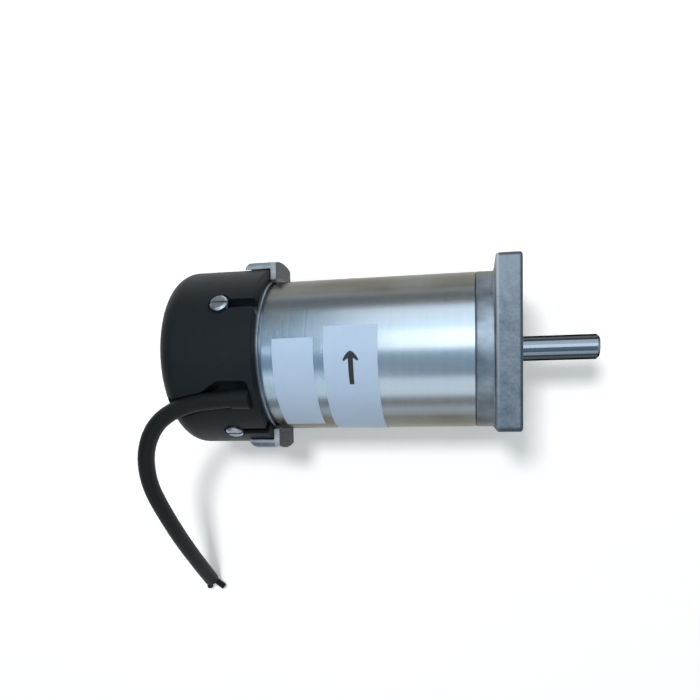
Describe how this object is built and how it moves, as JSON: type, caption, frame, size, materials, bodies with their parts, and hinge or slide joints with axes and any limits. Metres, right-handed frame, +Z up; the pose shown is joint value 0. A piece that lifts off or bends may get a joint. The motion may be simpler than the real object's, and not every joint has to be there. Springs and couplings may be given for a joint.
{
  "type": "electric motor",
  "caption": "Brushed direct-current electric motor with a square mounting flange, plain output shaft, brushed round housing, black rear cap and a flexible supply cable.",
  "frame": {"origin": "centre of the flange's output face, on the shaft's axis", "axes": "+X out along the output shaft, +Z up, normal to the side that carries the cable outlet and labels, +Y completes the right-handed set; the two housing lugs lie at plus and minus Y"},
  "size_m": [0.1897, 0.1558, 0.074],
  "materials": {
    "cast_aluminium": "as-cast, bead-blasted",
    "brushed_tube": "brushed round the axis",
    "black_plastic": "moulded, fine grain",
    "zinc_steel": "zinc plated",
    "ground_steel": "ground bright",
    "bearing_steel": "polished",
    "bearing_cage": "pressed",
    "shield_steel": "pressed",
    "ferrite": "sintered",
    "spring_steel": "oil tempered",
    "lamination_steel": "stacked sheet",
    "insulating_board": "laminate",
    "insulator_green": "coated",
    "enamelled_copper": "enamelled",
    "copper": "turned",
    "phenolic": "moulded",
    "brass": "pressed sheet",
    "carbon": "pressed carbon",
    "rubber": "matt",
    "cable_sheath": "matt sheath",
    "capacitor_film": "dipped",
    "label_film": "printed film",
    "lead_red": "wire insulation",
    "lead_black": "wire insulation"
  },
  "bodies": {
    "stator": {"arrow_label": "label_film", "bearing_circlip": "spring_steel", "brush_holder_1": "brass", "brush_holder_2": "brass", "brush_pigtail_1": "copper", "brush_pigtail_2": "copper", "brush_plate": "insulating_board", "brush_plate_screws": "zinc_steel", "brush_spring_1": "spring_steel", "brush_spring_2": "spring_steel", "brush_terminal_1": "brass", "brush_terminal_2": "brass", "cable_boot": "rubber", "cable_cores": "rubber", "cover_screws": "zinc_steel", "field_magnet_1": "ferrite", "field_magnet_2": "ferrite", "front_bearing_outer_ring": "bearing_steel", "front_bearing_shields": "shield_steel", "front_housing": "cast_aluminium", "magnet_clips": "spring_steel", "motor_cable": "cable_sheath", "motor_lead_1": "lead_red", "motor_lead_2": "lead_black", "motor_tube": "brushed_tube", "plain_label": "label_film", "rear_bearing_outer_ring": "bearing_steel", "rear_bearing_shields": "shield_steel", "rear_cover": "black_plastic", "rear_housing": "cast_aluminium", "suppression_capacitor": "capacitor_film", "tie_bolt_washers": "zinc_steel", "tie_bolts": "zinc_steel", "wave_washer": "spring_steel"},
    "rotor": {"shaft": "ground_steel", "armature_core": "lamination_steel", "end_insulators": "insulator_green", "armature_windings": "enamelled_copper", "commutator_hub": "phenolic", "commutator_bars": "copper", "front_bearing_inner_ring": "bearing_steel", "rear_bearing_inner_ring": "bearing_steel", "shaft_circlip": "spring_steel"},
    "front_ball_set": {"front_bearing_balls": "bearing_steel", "front_bearing_cage": "bearing_cage"},
    "rear_ball_set": {"rear_bearing_balls": "bearing_steel", "rear_bearing_cage": "bearing_cage"},
    "brush_1": {"carbon_brush_1": "carbon"},
    "brush_2": {"carbon_brush_2": "carbon"}
  },
  "joints": [
    {"name": "shaft_spin", "type": "hinge", "parent": "stator", "child": "rotor", "pos_m": [0, 0, 0], "axis": [1, 0, 0], "continuous": true},
    {"name": "front_cage_spin", "type": "hinge", "parent": "stator", "child": "front_ball_set", "pos_m": [-0.0068, 0, 0], "axis": [1, 0, 0], "continuous": true},
    {"name": "rear_cage_spin", "type": "hinge", "parent": "stator", "child": "rear_ball_set", "pos_m": [-0.131, 0, 0], "axis": [1, 0, 0], "continuous": true},
    {"name": "brush_1_slide", "type": "slide", "parent": "stator", "child": "brush_1", "axis": [0, 1, 0], "range_m": [0, 0.0015], "stiffness_N_per_m": 200, "springref_m": -0.007, "deforming": ["brush_spring_1", "brush_pigtail_1"]},
    {"name": "brush_2_slide", "type": "slide", "parent": "stator", "child": "brush_2", "axis": [0, -1, 0], "range_m": [0, 0.0015], "stiffness_N_per_m": 200, "springref_m": -0.007, "deforming": ["brush_spring_2", "brush_pigtail_2"]}
  ],
  "couplings": [
    {"joint": "front_cage_spin", "follows": "shaft_spin", "ratio": 0.3677},
    {"joint": "rear_cage_spin", "follows": "shaft_spin", "ratio": 0.3677}
  ]
}
